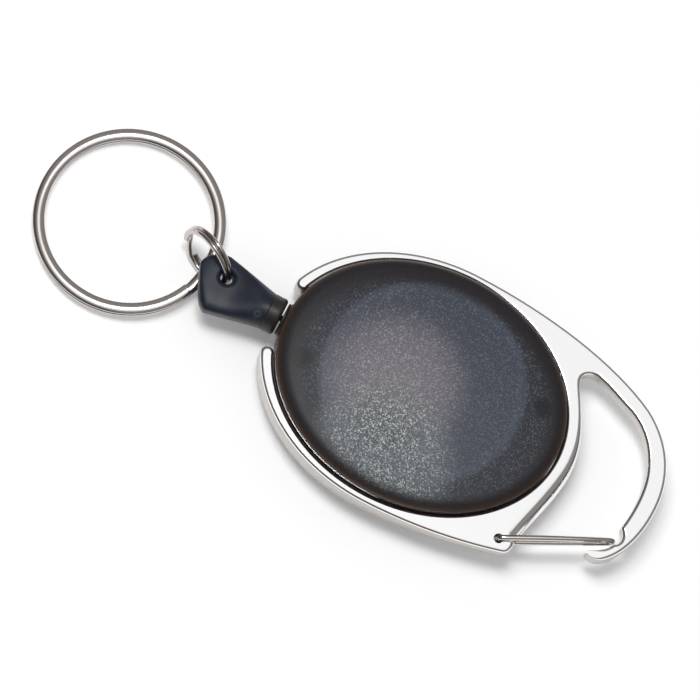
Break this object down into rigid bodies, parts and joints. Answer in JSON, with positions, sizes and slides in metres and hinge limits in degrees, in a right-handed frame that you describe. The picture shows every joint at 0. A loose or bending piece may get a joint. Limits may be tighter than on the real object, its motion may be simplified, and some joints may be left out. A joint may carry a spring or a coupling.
{
  "type": "retractable badge reel",
  "caption": "Oval smoked-plastic cord reel set in a plated carabiner frame, with a wire gate, a swivelling cord end cap and two linked split rings.",
  "frame": {"origin": "centre of the drum axis on the back face that the reel lies on", "axes": "+X from the drum axis towards the hook, +Y towards the plain arm opposite the gate, +Z from the back face to the domed front"},
  "size_m": [0.0895, 0.034, 0.0098],
  "materials": {
    "shell_front": "smoked, polished, a little translucent",
    "shell_back": "dark moulded, satin",
    "plated": "bright satin plate",
    "wire": "bright plate",
    "ring_steel": "bright plate",
    "drum_plastic": "moulded",
    "spring_steel": "blued strip",
    "pin_steel": "drawn",
    "brass": "drawn",
    "cord": "braided",
    "black_plastic": "moulded",
    "cap_plastic": "moulded, smooth"
  },
  "bodies": {
    "casing": {"front_shell": "shell_front", "back_shell": "shell_back", "case_pins": "pin_steel", "carabiner_frame": "plated", "spring_arbor": "drum_plastic", "axle_pin": "brass", "front_washer": "drum_plastic", "back_washer": "drum_plastic", "exit_eyelet": "black_plastic", "cord_run": "cord"},
    "drum": {"cord_drum": "drum_plastic", "drum_lid": "drum_plastic", "power_spring": "spring_steel", "cord_winding": "cord"},
    "gate": {"wire_gate": "wire"},
    "cord_end": {"cord_tail": "cord", "end_knot": "cord"},
    "end_fitting": {"end_ferrule": "black_plastic", "end_cap_front": "cap_plastic", "end_cap_back": "cap_plastic"},
    "small_ring": {"small_split_ring": "ring_steel"},
    "key_ring": {"key_split_ring": "ring_steel"}
  },
  "joints": [
    {"name": "cord_pull", "type": "slide", "parent": "casing", "child": "cord_end", "axis": [-1, 0, 0], "range_m": [0, 0.7], "stiffness_N_per_m": 1, "springref_m": -0.6},
    {"name": "drum_spin", "type": "hinge", "parent": "casing", "child": "drum", "pos_m": [0, 0, 0.0049], "axis": [0, 0, 1], "range_deg": [0, 3960]},
    {"name": "gate_swing", "type": "hinge", "parent": "casing", "child": "gate", "pos_m": [0.0177, -0.013, 0.0054], "axis": [0, 0, 1], "range_deg": [0, 28], "stiffness_Nm_per_rad": 0.001, "springref_deg": -28.65},
    {"name": "cap_swivel", "type": "hinge", "parent": "cord_end", "child": "end_fitting", "pos_m": [-0.0219, 0, 0.0049], "axis": [1, 0, 0], "continuous": true},
    {"name": "small_ring_swing", "type": "hinge", "parent": "end_fitting", "child": "small_ring", "pos_m": [-0.0285, 0.0012, 0.0045], "axis": [0, 0, 1], "range_deg": [0, 60]},
    {"name": "key_ring_swing", "type": "hinge", "parent": "small_ring", "child": "key_ring", "pos_m": [-0.03133, 0.00264, 0.0021], "axis": [0.0349, 0.9994, 0], "range_deg": [-60, 45]}
  ],
  "couplings": [
    {"joint": "drum_spin", "follows": "cord_pull", "rad_per_m": 98.522}
  ]
}
